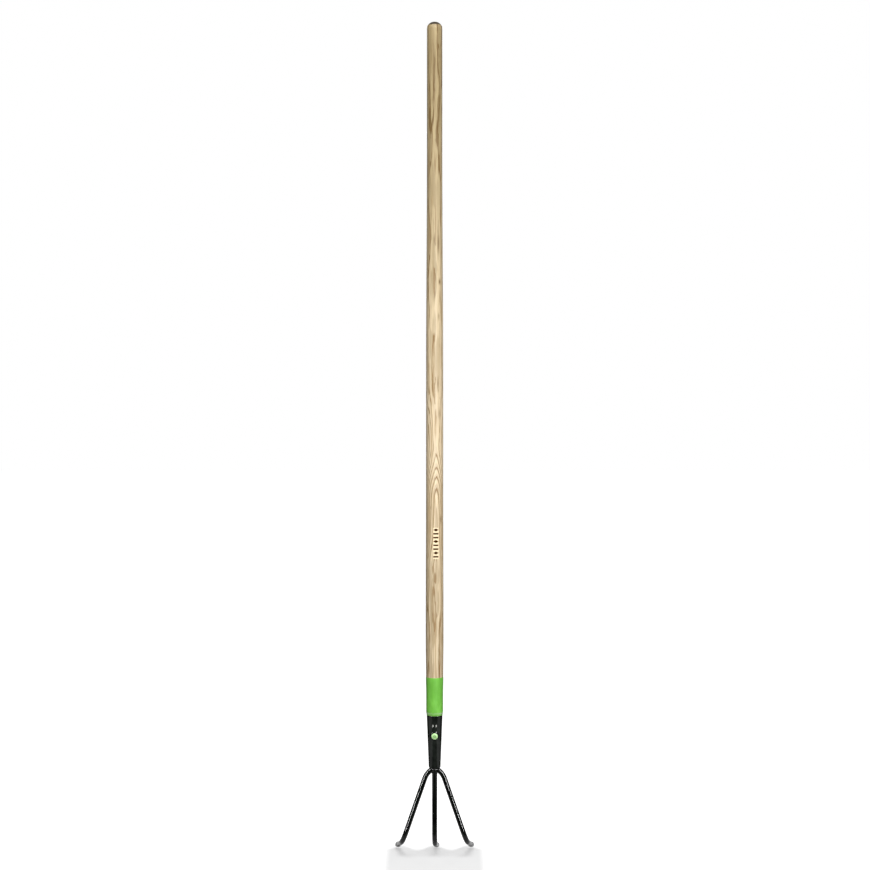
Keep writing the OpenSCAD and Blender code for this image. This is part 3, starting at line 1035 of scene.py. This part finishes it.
def build_outer_tine(side, materials):
    """Left (-1) or right (1) tine: out from the fork, down and back to its point."""
    flip = Matrix.Scale(side, 4, (1, 0, 0))
    fork = shift(0, 0, -SOCKET_LEN) @ turn(-SHOULDER_ANGLE, "Y")
    quarter = turn(90, "Z")
    arch, leg_top = bend(fork @ quarter, ARCH_R, SHOULDER_ANGLE - LEG_ANGLE)
    start = [f @ quarter.inverted() for f in arch][1:]
    leg, hook_frame = straight(leg_top @ quarter.inverted(), LEG_LEN)
    hook_frame = hook_frame @ turn(-SIDE_SPLAY, "Z")
    name = "left" if side < 0 else "right"
    frames = [flip @ f for f in start + leg]
    return tine(f"tine_{name}_rod", frames, flip @ hook_frame, HOOK_ANGLE,
                f"{name}_tine", materials)


def build_centre_tine(materials):
    """Straight tine on the handle's axis, held in the socket and hooked like the others."""
    lean = math.radians(CENTRE_HOOK_ANGLE)
    tip_h = -MOUTH_Z / MM + TIP_T / 2 * math.sin(lean)
    hook_h = tip_h + HOOK_R * math.sin(lean) + POINT_LEN * math.cos(lean)
    top_h = TANG_LEN - SOCKET_LEN
    frames, hook_frame = straight(shift(0, 0, top_h), top_h - hook_h)
    hook_frame = hook_frame @ turn(-CENTRE_LEAN, "Z")
    return tine("tine_centre_rod", frames, hook_frame, CENTRE_HOOK_ANGLE,
                "centre_tine", materials)


# ---- Welds -----------------------------------------------------------------

def build_weld(name, node, ripple_axis, material):
    """Weld metal grown from the CAD node: rounded, lumpy and rippled like a bead."""
    source = frame["nodes"][node]
    mesh = source.data.copy()
    mesh.materials.clear()
    piece = bpy.data.objects.new(name, mesh)
    bpy.context.scene.collection.objects.link(piece)
    remesh = piece.modifiers.new("round_off", "REMESH")
    remesh.mode = "VOXEL"
    remesh.voxel_size = WELD_VOXEL * MM
    soften = piece.modifiers.new("soften", "SMOOTH")
    soften.factor = 0.5
    soften.iterations = 4
    shaped = bpy.data.meshes.new_from_object(
        piece.evaluated_get(bpy.context.evaluated_depsgraph_get()))
    piece.modifiers.clear()
    piece.data = shaped
    shaped.name = name
    for vertex in shaped.vertices:
        x = (vertex.co.x - AXIS_X) / MM
        y = (vertex.co.y - AXIS_Y) / MM
        h = (vertex.co.z - MOUTH_Z) / MM
        travel = ripple_axis(x, y, h)
        wave = abs(math.sin(math.pi * travel / RIPPLE_PITCH))
        lump = rumple(x, y, h, 3.2)
        vertex.co += vertex.normal * MM * (RIPPLE_H * wave + LUMP_H * lump - WELD_SINK)
    shaped.shade_smooth()
    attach(piece, "root")
    return finish_piece(piece, material, node)


def build_welds(material):
    """The two welds, each with ripples spaced along its bead."""
    def round_the_socket(x, y, h):
        return 9 * math.atan2(x, abs(y)) + 0.3 * h

    def down_the_crotch(x, y, h):
        return h + 0.35 * abs(x)

    return [build_weld("weld_under_socket", "socket_weld", round_the_socket, material),
            build_weld("weld_crotches", "tine_welds", down_the_crotch, material)]


# ---- Stage, light and camera -----------------------------------------------

# Places on the floor, from the tool's axis. White cards light the tool and show in its
# paint but are hidden from the camera. Only the camera sees the grey pool at its foot:
# painted shade where the floor's glow is turned down, with a back edge that waves to
# reach each point.
CARD_HALF = (260, 200)
CARD_Y = 150
SIDE_CARD_X = 900
SIDE_CARD_Y = -250
SIDE_CARD_HALF = (420, 420)
CARD_FADE_OUT = 60
CARD_FADE_IN = 20
POOL_SIDE = 80
POOL_BACK = 74
POOL_FRONT = 100
POOL_SIDE_FADE = 30
POOL_BACK_FADE = 40
POOL_FRONT_FADE = 200
POOL_WAVE = 14
POOL_WAVE_LEN = 64
FLOOR_GAP = 0.5

# Brightness of the floor to the camera, and of the surround to every other ray
POOL_GLOW = 0.47
PAPER_SHADE = 0.45
SURROUND = (0.05, 0.05, 0.055, 1)
WHITE = (1.0, 1.0, 1.0, 1)

# In metres; the camera's place is measured from the axis and the socket's mouth
FLOOR_HALF = 30.0
CAMERA_RIGHT = 0.0007
CAMERA_BACK = 2.8
CAMERA_UP = 0.523

# Focal length and film width in millimetres
LENS = 62.0
FILM_W = 36


def build_world():
    """White for the camera and a dim grey surround for the light that it gives."""
    world = bpy.data.worlds.new("studio")
    bpy.context.scene.world = world
    world.use_nodes = True
    nodes, links = world.node_tree.nodes, world.node_tree.links
    background = nodes["Background"]
    path = nodes.new("ShaderNodeLightPath")
    pick = nodes.new("ShaderNodeMix")
    pick.data_type = "RGBA"
    pick.inputs[6].default_value = SURROUND
    pick.inputs[7].default_value = WHITE
    links.new(path.outputs["Is Camera Ray"], pick.inputs[0])
    links.new(pick.outputs[2], background.inputs["Color"])


def card(s, x, y, at_x, at_y, half):
    """1 on a soft-edged white card that lies at (at_x, at_y) on the floor."""
    off_x = s.math("ABSOLUTE", s.math("SUBTRACT", x, at_x))
    off_y = s.math("ABSOLUTE", s.math("SUBTRACT", y, at_y))
    return s.math("MULTIPLY", s.span(off_x, half[0] + CARD_FADE_OUT, half[0] - CARD_FADE_IN),
                  s.span(off_y, half[1] + CARD_FADE_OUT, half[1] - CARD_FADE_IN))


def floor_paper(s, x, y, camera_sees):
    """How pale the floor is: even paper to the camera, white cards to all other rays."""
    cards = s.math("MAXIMUM", card(s, x, y, 0, CARD_Y, CARD_HALF),
                   card(s, x, y, SIDE_CARD_X, SIDE_CARD_Y, SIDE_CARD_HALF))
    change = s.math("SUBTRACT", PAPER_SHADE, cards)
    return s.math("MULTIPLY_ADD", camera_sees, change, cards)


def floor_glow(s, x, y):
    """How much the floor glows, which is painted light: burned out to white, but dimmer in the
    pool, a painted shade at the tool's foot in which the glow that is left lightens the cast
    shadows.
    """
    # The wave makes the pool's painted shade reach further back at each point and less far
    # between them.
    wave = s.math("COSINE", s.math("MULTIPLY", x, 2 * math.pi / POOL_WAVE_LEN))
    inward = s.math("MULTIPLY_ADD", wave, -POOL_WAVE, s.math("ADD", y, POOL_WAVE))
    away = s.math("MAXIMUM", s.span(x, POOL_SIDE, POOL_SIDE + POOL_SIDE_FADE),
                  s.span(inward, POOL_BACK, POOL_BACK + POOL_BACK_FADE))
    in_front = s.span(y, -POOL_FRONT, -POOL_FRONT - POOL_FRONT_FADE)
    away = s.math("MAXIMUM", away, in_front)
    return s.math("MULTIPLY_ADD", away, 1 - POOL_GLOW, POOL_GLOW)


def floor_material():
    """Glowing paper to the camera, and white cards on black to every other ray."""
    s = Shader("studio_white")
    x, y, _ = s.xyz(s.mm)
    x = s.math("ABSOLUTE", s.math("SUBTRACT", x, AXIS_X / MM))
    y = s.math("SUBTRACT", y, AXIS_Y / MM)
    camera_sees = s.tree.nodes.new("ShaderNodeLightPath").outputs["Is Camera Ray"]
    paper = floor_paper(s, x, y, camera_sees)
    grain = s.span(s.noise((60, 60, 60), 2.0), 0.3, 0.7, 0.78, 0.8)
    grain = s.math("MULTIPLY", grain, paper)
    s.set(colour=s.join(grain, grain, grain), rough=0.9, specular=0.0)
    glow = s.math("MULTIPLY", camera_sees, floor_glow(s, x, y))
    s.feed(s.surface.inputs["Emission Color"], WHITE)
    s.feed(s.surface.inputs["Emission Strength"], glow)
    return s.material


def build_floor():
    """A wide flat floor just under the points."""
    mesh = bpy.data.meshes.new("studio_floor")
    corners = [(-FLOOR_HALF, -FLOOR_HALF, 0), (FLOOR_HALF, -FLOOR_HALF, 0),
               (FLOOR_HALF, FLOOR_HALF, 0), (-FLOOR_HALF, FLOOR_HALF, 0)]
    mesh.from_pydata(corners, [], [(0, 1, 2, 3)])
    floor = bpy.data.objects.new("studio_floor", mesh)
    floor.location.z = -FLOOR_GAP * MM
    bpy.context.scene.collection.objects.link(floor)
    mesh.materials.append(floor_material())


def softbox(name, azimuth, distance, low, high, width, power):
    """Upright area light that faces the tool's axis, from its foot at low up to high.

    Lengths are in metres, azimuth is in degrees round from the front towards +X, and
    power is in watts.
    """
    light = bpy.data.lights.new(name, "AREA")
    light.shape = "RECTANGLE"
    light.size = width
    light.size_y = high - low
    light.energy = power
    holder = bpy.data.objects.new(name, light)
    a = math.radians(azimuth)
    holder.location = (AXIS_X + distance * math.sin(a), AXIS_Y - distance * math.cos(a),
                       (low + high) / 2)
    holder.rotation_euler = (math.radians(90), 0, a)
    holder.visible_camera = False
    bpy.context.scene.collection.objects.link(holder)
    return holder


def overhead(name, x, y, z, size, power):
    """Square area light that looks straight down at the floor."""
    light = bpy.data.lights.new(name, "AREA")
    light.size = size
    light.energy = power
    holder = bpy.data.objects.new(name, light)
    holder.location = (x, y, z)
    holder.visible_camera = False
    bpy.context.scene.collection.objects.link(holder)


def only_on(holder, pieces):
    """Keeps a light for these pieces, as a small reflector near them would."""
    group = bpy.data.collections.new(holder.name + "_reach")
    for piece in pieces:
        group.objects.link(piece)
    holder.light_linking.receiver_collection = group


def build_lights(black, others):
    """A key, two strips for the highlights on the black pieces, back lights and a top.

    The strips reach only the black pieces, and the middle back light only the tool.
    """
    softbox("key", 14, 1.7, 0.45, 1.25, 0.6, 23.5)
    only_on(softbox("strip_right", 45, 2.0, 0.0, 1.6, 0.11, 125), black)
    only_on(softbox("strip_left", -47, 2.0, 0.0, 1.6, 0.1, 110), black)
    softbox("back_right", 140, 2.6, 0.9, 2.9, 0.9, 8)
    softbox("back_left", -140, 2.6, 0.9, 2.9, 0.9, 8)
    only_on(softbox("back", 180, 2.4, 0.1, 1.9, 0.9, 32), black + others)
    overhead("top", 0.0, -1.3, 2.7, 1.8, 82)


def build_camera():
    """Level view of the front, from about half way up the whole tool."""
    data = bpy.data.cameras.new("front_view")
    data.lens = LENS
    data.sensor_width = FILM_W
    data.clip_start = 0.05
    camera = bpy.data.objects.new("front_view", data)
    camera.location = (AXIS_X + CAMERA_RIGHT, AXIS_Y - CAMERA_BACK, MOUTH_Z + CAMERA_UP)
    camera.rotation_euler = (math.radians(90), 0, 0)
    bpy.context.scene.collection.objects.link(camera)
    bpy.context.scene.camera = camera
    bpy.context.scene.view_settings.view_transform = "Standard"


# ---- Build -----------------------------------------------------------------

enamel = enamel_material()
tine_finish = (tine_material(), ground_material())
others = [build_handle(ash_material()), build_sleeve(sleeve_material()),
          build_rivet(rivet_material()), build_mandrel(mandrel_material())]
black = [build_socket(enamel), build_centre_tine(tine_finish),
         build_outer_tine(-1, tine_finish), build_outer_tine(1, tine_finish)]
black += build_welds(weld_material())
build_world()
build_floor()
build_lights(black, others)
build_camera()
